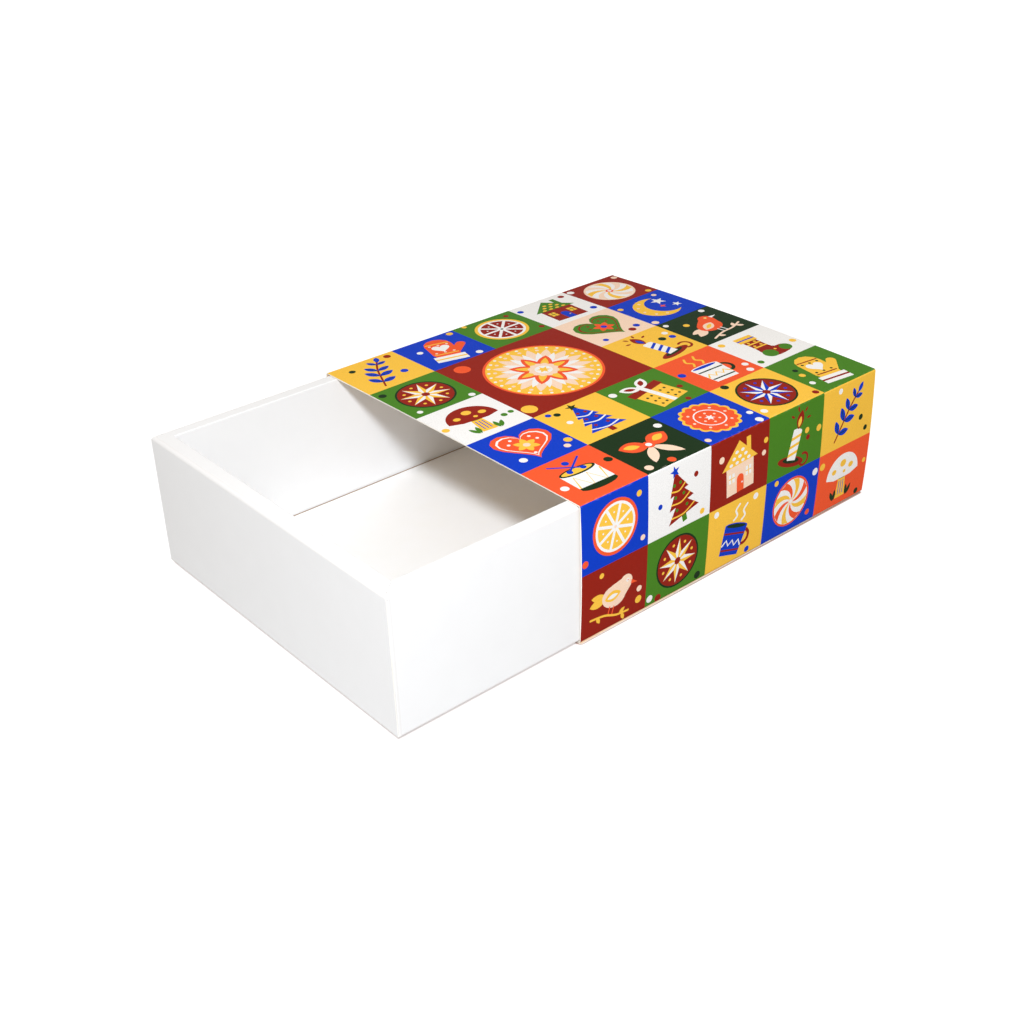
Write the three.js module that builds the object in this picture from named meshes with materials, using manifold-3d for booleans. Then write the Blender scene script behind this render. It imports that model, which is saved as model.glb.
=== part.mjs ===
// Drawer box for biscuits: a printed board sleeve, open at both ends, over a white tray with hollow walls.
// Millimetres, +Z up. The origin lies on the table, under the middle of the box as it stands with its tray
// part drawn. The tray's front faces -Y. Every board is one folded sheet of even thickness, drawn as its
// centre line and thickened.

import * as THREE from 'three';
import { mergeVertices } from 'three/addons/utils/BufferGeometryUtils.js';
import Module from 'manifold-3d';

// Board and folds
const board = 0.45;
const foldSteps = 6;
const bowSteps = 14;

// Sleeve, measured over its folds
const sleeveWidth = 150;
const sleeveHeight = 56.5;
const sleeveLength = 162;
const sleeveFold = 0.95;
const sideBow = 1.2;
const seamFlapWidth = 14;
const seamEdgeInset = 0.3;

// Glue films, and the space that they hold open between two boards
const glueLine = 0.1;
const glueFilm = 0.06;
const seamGlueWidth = 9;
const seamGlueInset = 6;
const cornerGlueWidth = 14;
const cornerGlueHeight = 34;

// How the tray sits in the sleeve
const drawnOut = 80;
const underClearance = 0.15;
const headClearance = 0.25;
const sideClearance = 0.25;

// Tray
const trayLength = sleeveLength;
const trayFold = 0.8;
const endWallDepth = 6.8;
const sideWallDepth = 6;
const tuckFlapLength = 18;
const cornerFlapLength = 30;
const creaseStub = 0.6;
const creaseGap = 0.05;
const mitreSlit = 0.16;
const innerPanelGap = 0.12;

// Floor card
const layerGap = 0.05;
const cardGap = 0.4;

// Overrun of every cutting tool past what it cuts
const overrun = 2;

// Sizes that follow
const trayWidth = sleeveWidth - 2 * board - 2 * sideClearance;
const trayUnderside = board + glueLine + board + underClearance;
const trayHeight = sleeveHeight - board - headClearance - trayUnderside;
const sleeveCentre = drawnOut / 2;
const trayCentre = -drawnOut / 2;

// Finishes
const printedBoard = new THREE.MeshStandardMaterial({ color: 0x3d5a2c, roughness: 0.45, metalness: 0 });
const whiteBoard = new THREE.MeshStandardMaterial({ color: 0xf4f3ef, roughness: 0.7, metalness: 0 });
const floorBoard = new THREE.MeshStandardMaterial({ color: 0xf2efe6, roughness: 0.75, metalness: 0 });
const dryGlue = new THREE.MeshStandardMaterial({ color: 0xe9e4cf, roughness: 0.5, metalness: 0 });

const wasm = await Module();
wasm.setup();

// Centre line through the corners, where a corner with a radius r becomes a rounded fold
function centreLine(corners) {
  const line = [];
  corners.forEach((corner, i) => {
    const here = new THREE.Vector2(corner.x, corner.y);
    if (!corner.r) {
      line.push(here);
      return;
    }
    const back = new THREE.Vector2(corners[i - 1].x, corners[i - 1].y).sub(here).normalize();
    const ahead = new THREE.Vector2(corners[i + 1].x, corners[i + 1].y).sub(here).normalize();
    const halfAngle = Math.acos(THREE.MathUtils.clamp(back.dot(ahead), -1, 1)) / 2;
    const centre = back.clone().add(ahead).normalize();
    centre.multiplyScalar(corner.r / Math.sin(halfAngle)).add(here);
    const start = back.clone().multiplyScalar(corner.r / Math.tan(halfAngle)).add(here);
    const turn = Math.sign(ahead.cross(back)) * (Math.PI - 2 * halfAngle);
    for (let k = 0; k <= foldSteps; k += 1) {
      line.push(start.clone().rotateAround(centre, (turn * k) / foldSteps));
    }
  });
  return line;
}

// Outline of a board of the given thickness along its centre line
function boardOutline(line, thickness) {
  const left = [];
  const right = [];
  line.forEach((point, i) => {
    const before = line[Math.max(i - 1, 0)];
    const after = line[Math.min(i + 1, line.length - 1)];
    const into = (i === 0 ? after : point).clone().sub(i === 0 ? point : before).normalize();
    const isLast = i === line.length - 1;
    const out = (isLast ? point : after).clone().sub(isLast ? before : point).normalize();
    const along = into.clone().add(out).normalize();
    const reach = thickness / 2 / along.dot(into);
    const normal = new THREE.Vector2(-along.y, along.x).multiplyScalar(reach);
    left.push(point.clone().add(normal));
    right.push(point.clone().sub(normal));
  });
  return new THREE.Shape([...left, ...right.reverse()]);
}

// Extrusion of a flat shape. The shape's x and y run along the first two directions, and its depth along
// their cross product. A unit extrusion is stretched to the depth, so that faces meant to meet get exactly
// the same coordinates.
function extruded(shape, depth, alongX, alongY, origin) {
  const geometry = new THREE.ExtrudeGeometry(shape, { depth: 1, bevelEnabled: false });
  const alongDepth = alongX.clone().cross(alongY).multiplyScalar(depth);
  const frame = new THREE.Matrix4().makeBasis(alongX, alongY, alongDepth);
  return geometry.applyMatrix4(frame.setPosition(origin));
}

const right = new THREE.Vector3(1, 0, 0);
const inward = new THREE.Vector3(0, 1, 0);
const up = new THREE.Vector3(0, 0, 1);

// Closed geometry to solid and back
function solid(geometry) {
  const bare = geometry.clone();
  bare.deleteAttribute('normal');
  bare.deleteAttribute('uv');
  const merged = mergeVertices(bare);
  return new wasm.Manifold(new wasm.Mesh({
    numProp: 3,
    vertProperties: new Float32Array(merged.attributes.position.array),
    triVerts: new Uint32Array(merged.index.array),
  }));
}

function surface(body) {
  const mesh = body.getMesh();
  const geometry = new THREE.BufferGeometry();
  geometry.setAttribute('position', new THREE.BufferAttribute(mesh.vertProperties, 3));
  geometry.setIndex(new THREE.BufferAttribute(mesh.triVerts, 1));
  geometry.computeVertexNormals();
  return geometry;
}

// Upright prism over a plan outline, given as [x, y] pairs
function prism(plan, low, high) {
  const shape = new THREE.Shape(plan.map(([x, y]) => new THREE.Vector2(x, y)));
  return solid(extruded(shape, high - low, right, inward, new THREE.Vector3(0, 0, low)));
}

function plate(width, length, thickness) {
  return new THREE.BoxGeometry(width, length, thickness);
}

function named(name, geometry, material) {
  const mesh = new THREE.Mesh(geometry, material);
  mesh.name = name;
  return mesh;
}

// A side panel swells outwards between its two folds
function bowedPanel(x, from, to, bow) {
  const points = [];
  for (let k = 1; k < bowSteps; k += 1) {
    const share = k / bowSteps;
    points.push({ x: x + 4 * bow * share * (1 - share), y: from + (to - from) * share });
  }
  return points;
}

// The sleeve is one sheet: bottom panel, left panel, top, right panel, and the seam flap on the bottom panel
function sleeveGeometry() {
  const edge = sleeveWidth / 2 - board / 2;
  const bottom = board / 2;
  const flap = board + glueLine + board / 2;
  const top = sleeveHeight - board / 2;
  const r = sleeveFold - board / 2;
  const sheet = centreLine([
    { x: sleeveWidth / 2 - seamEdgeInset, y: bottom },
    { x: -edge, y: bottom, r },
    ...bowedPanel(-edge, bottom, top, -sideBow),
    { x: -edge, y: top, r },
    { x: edge, y: top, r },
    ...bowedPanel(edge, top, flap, sideBow),
    { x: edge, y: flap, r },
    { x: edge - seamFlapWidth, y: flap },
  ]);
  const back = new THREE.Vector3(0, sleeveLength / 2, 0);
  return extruded(boardOutline(sheet, board), sleeveLength, right, up, back);
}

// Mitre between two walls' rims, in plan. It also trims the folds where the walls leave the base.
function mitrePlan(half, depth, otherDepth) {
  const slope = otherDepth / depth;
  const start = half - mitreSlit / 2;
  return [
    [start + overrun * slope, -overrun],
    [half + depth, -overrun],
    [half + depth, depth + overrun],
    [start - (depth + overrun) * slope, depth + overrun],
  ];
}

// What the inner panel and its tuck flap, with ends at 45 degrees, leave free at a corner, in plan
function cornerPlan(half, depth, panelEnd, flapEnd) {
  const reach = tuckFlapLength + overrun;
  return [
    [panelEnd, depth / 2],
    [half + depth, depth / 2],
    [half + depth, depth + reach],
    [flapEnd - reach, depth + reach],
    [flapEnd, depth],
    [panelEnd, depth],
  ];
}

// A hollow wall along x, with its outer face on y = 0 and its hollow towards +y: outer panel, rim, inner
// panel and tuck flap. panelEnd is where the inner panel stops, and outerEnd where the outer panel does.
function hollowWall({ length, depth, otherDepth, panelEnd, outerEnd }) {
  const r = trayFold - board / 2;
  const low = board / 2;
  const rim = trayHeight - board / 2;
  const flap = board + layerGap + board / 2;
  const sheet = centreLine([
    { x: trayFold + creaseStub, y: low },
    { x: low, y: low, r },
    { x: low, y: rim, r },
    { x: depth - board / 2, y: rim, r },
    { x: depth - board / 2, y: flap, r },
    { x: depth + tuckFlapLength, y: flap },
  ]);
  const half = length / 2;
  const flapEnd = half - otherDepth - innerPanelGap;
  const left = new THREE.Vector3(-half, 0, 0);
  const wall = solid(extruded(boardOutline(sheet, board), length, inward, up, left));
  const rimFoot = trayHeight - trayFold;
  const cuts = [
    prism(mitrePlan(half, depth, otherDepth), rimFoot, trayHeight + overrun),
    prism(mitrePlan(half, depth, otherDepth), -overrun, trayFold),
    prism(cornerPlan(half, depth, panelEnd, flapEnd), -overrun, rimFoot),
  ];
  if (outerEnd < half) {
    const plan = [
      [outerEnd, -overrun],
      [half + depth, -overrun],
      [half + depth, depth / 2],
      [outerEnd, depth / 2],
    ];
    cuts.push(prism(plan, trayFold, rimFoot));
  }
  const cutter = wasm.Manifold.union(cuts);
  return wall.subtract(cutter).subtract(cutter.mirror([1, 0, 0]));
}

// Front and back walls: the outer panel runs the tray's whole width, and its raw edges show at the corners
function endWallGeometry() {
  return surface(hollowWall({
    length: trayWidth,
    depth: endWallDepth,
    otherDepth: sideWallDepth,
    panelEnd: trayWidth / 2 - sideWallDepth - innerPanelGap,
    outerEnd: trayWidth / 2,
  }));
}

// Side walls: the outer panel turns in at both ends, and its corner flaps lie glued inside the end walls
function sideWallGeometry() {
  const turn = trayLength / 2 - board - glueLine;
  const straight = turn - trayFold;
  const wall = hollowWall({
    length: trayLength,
    depth: sideWallDepth,
    otherDepth: endWallDepth,
    panelEnd: trayLength / 2 - endWallDepth + board,
    outerEnd: straight,
  });
  const sheet = centreLine([
    { x: straight - trayFold, y: board / 2 },
    { x: turn - board / 2, y: board / 2, r: trayFold - board / 2 },
    { x: turn - board / 2, y: cornerFlapLength },
  ]);
  const foot = new THREE.Vector3(0, 0, trayFold);
  const flap = solid(extruded(boardOutline(sheet, board), trayHeight - 2 * trayFold, right, inward, foot));
  return surface(wall.add(flap).add(flap.mirror([1, 0, 0])));
}

// Sleeve
const sleeve = new THREE.Group();
sleeve.position.y = sleeveCentre;
sleeve.add(named('sleeve', sleeveGeometry(), printedBoard));

const seamGlueLength = sleeveLength - 2 * seamGlueInset;
const seamGlue = named('sleeve_seam_glue', plate(seamGlueWidth, seamGlueLength, glueFilm), dryGlue);
seamGlue.position.set(sleeveWidth / 2 - (sleeveFold + seamFlapWidth) / 2, 0, board + glueLine / 2);
sleeve.add(seamGlue);

// Tray, in its own frame: origin under its middle, on its underside
const tray = new THREE.Group();
tray.position.set(0, trayCentre, trayUnderside);

const creaseInset = trayFold + creaseStub + creaseGap;
const basePlate = plate(trayWidth - 2 * creaseInset, trayLength - 2 * creaseInset, board);
const base = named('tray_base', basePlate, whiteBoard);
base.position.z = board / 2;
tray.add(base);

const endWall = endWallGeometry();
const sideWall = sideWallGeometry();
const walls = [
  { name: 'tray_front_wall', geometry: endWall, x: 0, y: -trayLength / 2, quarterTurns: 0 },
  { name: 'tray_right_wall', geometry: sideWall, x: trayWidth / 2, y: 0, quarterTurns: 1 },
  { name: 'tray_back_wall', geometry: endWall, x: 0, y: trayLength / 2, quarterTurns: 2 },
  { name: 'tray_left_wall', geometry: sideWall, x: -trayWidth / 2, y: 0, quarterTurns: 3 },
];
for (const { name, geometry, x, y, quarterTurns } of walls) {
  const wall = named(name, geometry, whiteBoard);
  wall.position.set(x, y, 0);
  wall.rotation.z = (quarterTurns * Math.PI) / 2;
  tray.add(wall);
}

const cardWidth = trayWidth - 2 * (sideWallDepth + cardGap);
const cardLength = trayLength - 2 * (endWallDepth + cardGap);
const card = named('floor_card', plate(cardWidth, cardLength, board), floorBoard);
card.position.z = 2 * (board + layerGap) + board / 2;
tray.add(card);

// Corner glue, between each corner flap and the end panel that covers it
const glueFromCorner = (trayFold + cornerFlapLength) / 2;
for (const [end, endSign] of [['front', -1], ['back', 1]]) {
  for (const [side, sideSign] of [['left', -1], ['right', 1]]) {
    const film = plate(cornerGlueWidth, glueFilm, cornerGlueHeight);
    const glue = named(`corner_glue_${end}_${side}`, film, dryGlue);
    glue.position.set(
      sideSign * (trayWidth / 2 - glueFromCorner),
      endSign * (trayLength / 2 - board - glueLine / 2),
      trayHeight / 2,
    );
    tray.add(glue);
  }
}

const box = new THREE.Group();
box.add(sleeve, tray);

export default box;
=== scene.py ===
"""Looks of a folded board biscuit box: a printed sleeve, and a white tray that slides out of it.

Every board is cut from a flat outline, with its print as coloured faces, and then bent round its folds.
On a flat board u runs across the folds and v along them, and u, v and the outward normal are right-handed.
"""

import math
import random

import bpy
import numpy as np
from mathutils import Matrix, Vector
from mathutils.geometry import delaunay_2d_cdt


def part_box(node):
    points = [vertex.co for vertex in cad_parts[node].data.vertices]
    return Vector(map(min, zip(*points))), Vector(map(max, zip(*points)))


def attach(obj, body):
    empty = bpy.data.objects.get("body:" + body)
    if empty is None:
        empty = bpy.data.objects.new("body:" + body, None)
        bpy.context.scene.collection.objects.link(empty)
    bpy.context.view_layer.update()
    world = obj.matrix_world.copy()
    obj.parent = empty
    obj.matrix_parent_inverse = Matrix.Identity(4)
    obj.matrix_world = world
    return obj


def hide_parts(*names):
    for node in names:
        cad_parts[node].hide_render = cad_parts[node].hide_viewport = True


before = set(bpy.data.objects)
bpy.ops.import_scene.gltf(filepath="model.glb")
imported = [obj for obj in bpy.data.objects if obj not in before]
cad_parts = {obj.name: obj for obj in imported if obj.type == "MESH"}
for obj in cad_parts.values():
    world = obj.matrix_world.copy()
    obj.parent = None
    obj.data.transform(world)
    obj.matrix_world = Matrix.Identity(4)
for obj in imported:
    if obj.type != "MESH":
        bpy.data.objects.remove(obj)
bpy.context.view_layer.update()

MM = 0.001
TAU = math.tau

# Boards, in millimetres. Where a size differs from the CAD, it follows the photograph.
BOARD = 0.45
FOLD_STEPS = 8
GRID = 12.0
WELD = 1e-4
HULL_TRIANGLES = 0

# Sleeve. Its top's crown is given at the mouth and at the back.
SLEEVE_FOLD = 0.95
SIDE_BOW = 0.75
BOW_STEPS = 16
TOP_CROWN = (0.4, 1.4)
SEAM_FLAP = 14.0
SEAM_LIP = 0.25
SEAM_SKEW = 1.1
GLUE_LINE = 0.1

# Tray
END_DEPTH = 6.8
SIDE_DEPTH = 6.0
TUCK_FLAP = 18.0
CORNER_FLAP = 30.0
BASE_FOLD = 0.7
RIM_FOLD = 1.6
INNER_FOLD = 0.45
CORNER_FOLD = 0.65
CREASE_END = 1.4
MITRE_SLIT = 0.14
END_INSET = 0.1
FLAP_INSET = 0.1
PANEL_GAP = 0.12
LAYER_GAP = 0.05
CARD_INSET = 0.25
PANEL_SWELL = 0.35
FOOT_SPREAD = 0.55

# Marks along folds: reach to each side, and amount. The sleeve's folds are rubbed. A wall's: base, rim
# outside, rim inside, tuck flap; the rim marks are rubbing, the base mark is painted shade along the
# tray's foot, and the tuck flap mark is a painted shadow in the seam at the floor card's edge. The corner
# mark is a faint brown tint on the upright corner folds.
MARK_FADE = 0.15
SLEEVE_WEAR = (0.5, 1.0)
WALL_WEAR_AND_SHADE = ((0.6, 0.16), (1.1, 0.1), (0.4, 0.0), (0.78, 1.0))
CORNER_TINT = (0.9, 0.09)

FACE_SLOT, EDGE_SLOT, REVERSE_SLOT = range(3)
WHITE = (1.0, 1.0, 1.0, 1.0)


def lowest_highest(node):
    low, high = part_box(node)
    return low / MM, high / MM


def hump(height, share):
    """Parabola over a share from 0 to 1, with the given height in its middle."""
    return 4 * height * share * (1 - share)


def hump_slope(height, share):
    return 4 * height * (1 - 2 * share)


# Flat boards bent round their folds


class Fold:
    """Centre line of a folded board, through corners (x, y) or (x, y, radius), measured along the line."""

    def __init__(self, corners):
        self.points = []
        self.tangents = []
        spans = []
        for i, corner in enumerate(corners):
            here = Vector(corner[:2])
            if len(corner) < 3:
                self.points.append(here)
                self.tangents.append(None)
                continue
            back = (Vector(corners[i - 1][:2]) - here).normalized()
            ahead = (Vector(corners[i + 1][:2]) - here).normalized()
            half = math.acos(max(-1.0, min(1.0, back.dot(ahead)))) / 2
            centre = here + (back + ahead).normalized() * corner[2] / math.sin(half)
            start = here + back * corner[2] / math.tan(half)
            turn = math.copysign(math.pi - 2 * half, ahead.cross(back))
            first = len(self.points)
            for k in range(FOLD_STEPS + 1):
                spin = Matrix.Rotation(turn * k / FOLD_STEPS, 2)
                self.points.append(centre + spin @ (start - centre))
                self.tangents.append(spin @ -back)
            spans.append((first, len(self.points) - 1))
        last = len(self.points) - 1
        for i, tangent in enumerate(self.tangents):
            if tangent is None:
                before = self.points[max(i - 1, 0)]
                after = self.points[min(i + 1, last)]
                self.tangents[i] = (after - before).normalized()
        steps = [(b - a).length for a, b in zip(self.points, self.points[1:])]
        self.at = np.concatenate([[0.0], np.cumsum(steps)])
        self.folds = [(self.at[a], self.at[b]) for a, b in spans]
        self.length = self.at[-1]

    def samples(self, low=-math.inf, high=math.inf):
        return [s for s in self.at if low - WELD <= s <= high + WELD]

    def middle(self, fold):
        return sum(self.folds[fold]) / 2

    def place(self, s):
        """Points of the centre line and unit tangents there."""
        points = np.array(self.points)
        tangents = np.array(self.tangents)
        where = np.stack([np.interp(s, self.at, points[:, k]) for k in range(2)], 1)
        way = np.stack([np.interp(s, self.at, tangents[:, k]) for k in range(2)], 1)
        return where, way / np.linalg.norm(way, axis=1, keepdims=True)


def anticlockwise(points):
    area = sum(a[0] * b[1] - b[0] * a[1] for a, b in zip(points, points[1:] + points[:1]))
    return points if area > 0 else points[::-1]


def runs_round(outline, points):
    """Whether the outline runs round each point, by its winding number."""
    x, y = points.T
    turns = np.zeros(len(points), int)
    for (ax, ay), (bx, by) in zip(outline, outline[1:] + outline[:1]):
        left = (bx - ax) * (y - ay) - (by - ay) * (x - ax)
        turns += (ay <= y) & (by > y) & (left > 0)
        turns -= (ay > y) & (by <= y) & (left < 0)
    return turns != 0


def cut_sheet(outline, creases_u, creases_v, art):
    """Triangles of the flat sheet, and the index of the topmost print on each. 0 is the bare sheet."""
    corners = []
    faces = []
    edges = []
    polygons = [outline] + [points for _, points in art]
    for polygon in polygons:
        first = len(corners)
        corners.extend(Vector(p) for p in anticlockwise(polygon))
        faces.append(list(range(first, len(corners))))
    low_u = min(p[0] for p in outline)
    high_u = max(p[0] for p in outline)
    low_v = min(p[1] for p in outline)
    high_v = max(p[1] for p in outline)
    lines = [((u, low_v), (u, high_v)) for u in creases_u]
    lines += [((low_u, v), (high_u, v)) for v in creases_v]
    for a, b in lines:
        edges.append((len(corners), len(corners) + 1))
        corners.extend([Vector(a), Vector(b)])
    found, _, triangles, _, _, _ = delaunay_2d_cdt(corners, edges, faces, HULL_TRIANGLES, WELD)
    flat = np.array([tuple(point) for point in found])
    middles = flat[np.array(triangles)].mean(axis=1)
    prints = np.zeros(len(triangles), int)
    for index, polygon in enumerate(polygons):
        inside = (middles > np.min(polygon, axis=0)) & (middles < np.max(polygon, axis=0))
        near = np.nonzero(inside.all(axis=1))[0]
        prints[near[runs_round(polygon, middles[near])]] = index
    kept = runs_round(outline, middles)
    return flat, [list(t) for t, k in zip(triangles, kept) if k], prints[kept].tolist()


def free_edges(triangles):
    """Edges that only one triangle has."""
    edges = {}
    for t in triangles:
        for a, b in zip(t, t[1:] + t[:1]):
            if (b, a) in edges:
                edges.pop((b, a))
            else:
                edges[(a, b)] = True
    return list(edges)


def paint(mesh, prints, art):
    """Colours the face by the print on each of its triangles, which come first in the mesh."""
    ink = mesh.color_attributes.new("ink", "FLOAT_COLOR", "CORNER")
    inks = [INKS["W"]] + [INKS[letter] for letter, _ in art]
    colours = []
    for polygon in mesh.polygons:
        shown = inks[prints[polygon.index]] if polygon.index < len(prints) else inks[0]
        colours.extend((*shown, 1.0) * len(polygon.vertices))
    ink.data.foreach_set("color", colours)


def board(name, outline, bend, materials, creases_u=(), creases_v=(), art=(), fold_mask=None):
    """The flat outline with its print, bent and thickened. Materials: face, cut edge, reverse."""
    flat, triangles, prints = cut_sheet(outline, creases_u, creases_v, art)
    used = sorted({i for t in triangles for i in t})
    renumber = {old: new for new, old in enumerate(used)}
    flat = flat[used]
    triangles = [tuple(renumber[i] for i in t) for t in triangles]
    centre, normal = bend(flat)
    count = len(flat)
    points = np.concatenate([centre + normal * BOARD / 2, centre - normal * BOARD / 2])
    rim = free_edges(triangles)
    faces = list(triangles)
    faces += [tuple(i + count for i in reversed(t)) for t in triangles]
    faces += [(b, a, a + count, b + count) for a, b in rim]
    mesh = bpy.data.meshes.new(name)
    mesh.from_pydata((points * MM).tolist(), [], faces)
    for material in materials:
        mesh.materials.append(material)
    slots = [FACE_SLOT] * len(triangles) + [REVERSE_SLOT] * len(triangles) + [EDGE_SLOT] * len(rim)
    mesh.polygons.foreach_set("material_index", slots)
    mesh.polygons.foreach_set("use_smooth", [True] * len(slots))
    both = np.concatenate([normal, -normal])
    corner_normals = []
    for polygon in mesh.polygons:
        if slots[polygon.index] == EDGE_SLOT:
            corner_normals.extend([tuple(polygon.normal)] * len(polygon.vertices))
        else:
            corner_normals.extend(tuple(both[i]) for i in polygon.vertices)
    mesh.normals_split_custom_set(corner_normals)
    if art:
        paint(mesh, prints, art)
    # Marks along folds: rubbing, and on the tray's walls painted shade too.
    if fold_mask is not None:
        mark_amount = mesh.attributes.new("fold", "FLOAT", "POINT")
        amount = fold_mask(flat)
        mark_amount.data.foreach_set("value", np.concatenate([amount, amount]))
    piece = bpy.data.objects.new(name, mesh)
    bpy.context.scene.collection.objects.link(piece)
    return piece


def grid_lines(low, high):
    count = max(1, round((high - low) / GRID))
    return [low + (high - low) * k / count for k in range(count + 1)]


def folded_bend(fold, origin, across, up, along):
    """Bends a sheet round straight folds. across and up carry the fold's x and y, and along carries v."""

    def bend(flat):
        where, way = fold.place(flat[:, 0])
        centre = origin + where[:, :1] * across + where[:, 1:] * up + flat[:, 1:] * along
        return centre, way[:, :1] * up - way[:, 1:] * across

    return bend


def fold_marks(places):
    """Mask along folds, each (middle, reach, amount), and the mesh lines that it needs. It carries
    rubbing, and on the tray's walls painted shade too.
    """

    def mask(across):
        amount = np.zeros(len(across))
        for middle, reach, most in places:
            inside = (reach - np.abs(across - middle)) / MARK_FADE
            amount = np.maximum(amount, most * np.clip(inside, 0, 1))
        return amount

    lines = []
    for middle, reach, _ in places:
        for side in (1, -1):
            lines += [middle + side * reach, middle + side * (reach - MARK_FADE)]
    return mask, lines


# Print inks: green, dark green, yellow, blue, red, orange, white and pink


def linear(code):
    """Linear colour of a hex colour code."""
    shares = [int(code[i : i + 2], 16) / 255 for i in (0, 2, 4)]
    return tuple(s / 12.92 if s <= 0.04045 else ((s + 0.055) / 1.055) ** 2.4 for s in shares)


INKS = {
    "G": linear("488120"),
    "D": linear("122c0e"),
    "Y": linear("ffc948"),
    "B": linear("093dc5"),
    "R": linear("942011"),
    "O": linear("f85c31"),
    "W": linear("faf9f7"),
    "P": linear("ffdfc5"),
}

# Inks of a motif on each ground: main, second, accent and detail
SCHEMES = {
    "G": "YRWD", "D": "OPYW", "Y": "BRWD", "B": "OYWP",
    "R": "PYWO", "O": "WDYB", "W": "RGYB", "P": "GORB",
}


# Drawing kit. Shapes are closed outlines in shares of a cell, which runs from -1 to 1.

ROSETTE_STEPS = 56
LOBE_STEPS = 6
END_STEPS = 6
LEAF_FULLNESS = 0.8


def arc(radius, start, end, steps, x=0.0, y=0.0, squash=1.0):
    angles = [start + (end - start) * k / steps for k in range(steps + 1)]
    return [(x + radius * math.cos(a), y + radius * squash * math.sin(a)) for a in angles]


def polar(radius, angle):
    return radius * math.cos(angle), radius * math.sin(angle)


def disc(radius, x=0.0, y=0.0, squash=1.0, steps=22):
    return arc(radius, 0, TAU, steps, x, y, squash)[:-1]


def wide_disc(radius, steps=36):
    return disc(radius, steps=steps)


def star(count, outer, inner, x=0.0, y=0.0, turn=TAU / 4):
    points = []
    for k in range(2 * count):
        radius = inner if k % 2 else outer
        angle = turn + TAU * k / (2 * count)
        points.append((x + radius * math.cos(angle), y + radius * math.sin(angle)))
    return points


def scallops(count, radius, lobe):
    points = []
    for k in range(count * LOBE_STEPS):
        angle = TAU * k / (count * LOBE_STEPS)
        reach = radius + lobe * abs(math.sin(angle * count / 2))
        points.append(polar(reach, angle))
    return points


def bar(x0, y0, x1, y1):
    return [(x0, y0), (x1, y0), (x1, y1), (x0, y1)]


def curve(points, steps=6):
    """Smooth line through the points, by a Catmull-Rom spline."""
    padded = [points[0], *points, points[-1]]
    line = []
    for a, b, c, d in zip(padded, padded[1:], padded[2:], padded[3:]):
        for k in range(steps):
            t = k / steps
            weights = (
                -t / 2 + t * t - t**3 / 2,
                1 - 2.5 * t * t + 1.5 * t**3,
                t / 2 + 2 * t * t - 1.5 * t**3,
                -t * t / 2 + t**3 / 2,
            )
            line.append(tuple(sum(w * p[i] for w, p in zip(weights, (a, b, c, d))) for i in range(2)))
    return [*line, points[-1]]


def stroke(points, width):
    """Ribbon of even width along a line, with round ends."""
    left = []
    right = []
    angles = []
    for i, (x, y) in enumerate(points):
        ax, ay = points[max(i - 1, 0)]
        bx, by = points[min(i + 1, len(points) - 1)]
        angle = math.atan2(by - ay, bx - ax)
        dx = -math.sin(angle) * width / 2
        dy = math.cos(angle) * width / 2
        left.append((x + dx, y + dy))
        right.append((x - dx, y - dy))
        angles.append(angle)
    nose = arc(width / 2, angles[-1] + TAU / 4, angles[-1] - TAU / 4, END_STEPS, *points[-1])[1:-1]
    tail = arc(width / 2, angles[0] - TAU / 4, angles[0] - 3 * TAU / 4, END_STEPS, *points[0])[1:-1]
    return left + nose + right[::-1] + tail


def leaf(x, y, length, width, angle, steps=9):
    """Pointed leaf from its foot at (x, y)."""
    points = []
    for side in (1, -1):
        for k in range(steps):
            share = k / steps if side > 0 else 1 - k / steps
            points.append((share * length, side * width / 2 * math.sin(math.pi * share) ** LEAF_FULLNESS))
    cosine, sine = math.cos(angle), math.sin(angle)
    return [(x + cosine * px - sine * py, y + sine * px + cosine * py) for px, py in points]


def heart(size, x=0.0, y=0.0, steps=26):
    """The usual heart curve, 16 wide to each side and 17 from its middle to its tip."""
    points = []
    for k in range(steps):
        t = TAU * k / steps
        px = 16 * math.sin(t) ** 3
        py = 13 * math.cos(t) - 5 * math.cos(2 * t) - 2 * math.cos(3 * t) - math.cos(4 * t)
        points.append((x + size * px / 17, y + size * (py + 2.5) / 17))
    return points


def dots(ink, radius, places):
    return [(ink, disc(radius, x, y, steps=10)) for x, y in places]


def around(count, radius, turn=0.0):
    return arc(radius, turn, turn + TAU, count)[:-1]


# Motifs: layers of (ink, outline) from the bottom up


def barn_star(main, second, accent, detail):
    layers = [(detail, wide_disc(0.86)), (second, wide_disc(0.8))]
    for k in range(8):
        tip = polar(0.74, k * TAU / 8)
        left = polar(0.3, k * TAU / 8 + TAU / 16)
        right = polar(0.3, k * TAU / 8 - TAU / 16)
        layers += [(main, [(0, 0), right, tip]), (accent, [(0, 0), tip, left])]
    return layers + [(second, disc(0.12)), *dots(main, 0.05, around(8, 0.6, TAU / 16))]


def tree(main, second, accent, detail):
    layers = [(second, bar(-0.09, -0.92, 0.09, -0.6))]
    tier_shares = ((-0.7, 0.62), (-0.28, 0.5), (0.12, 0.37))
    for low, width in tier_shares:
        garland = curve([(-0.75 * width, low + 0.16), (0, low + 0.05), (0.75 * width, low + 0.16)])
        layers.append((main, [(-width, low), (width, low), (0, low + 0.7)]))
        layers.append((accent, stroke(garland, 0.05)))
        layers += dots(second, 0.055, [(-0.35 * width, low + 0.3), (0.3 * width, low + 0.27)])
    return layers + [(detail, star(5, 0.2, 0.08, 0, 0.82))]


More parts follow.
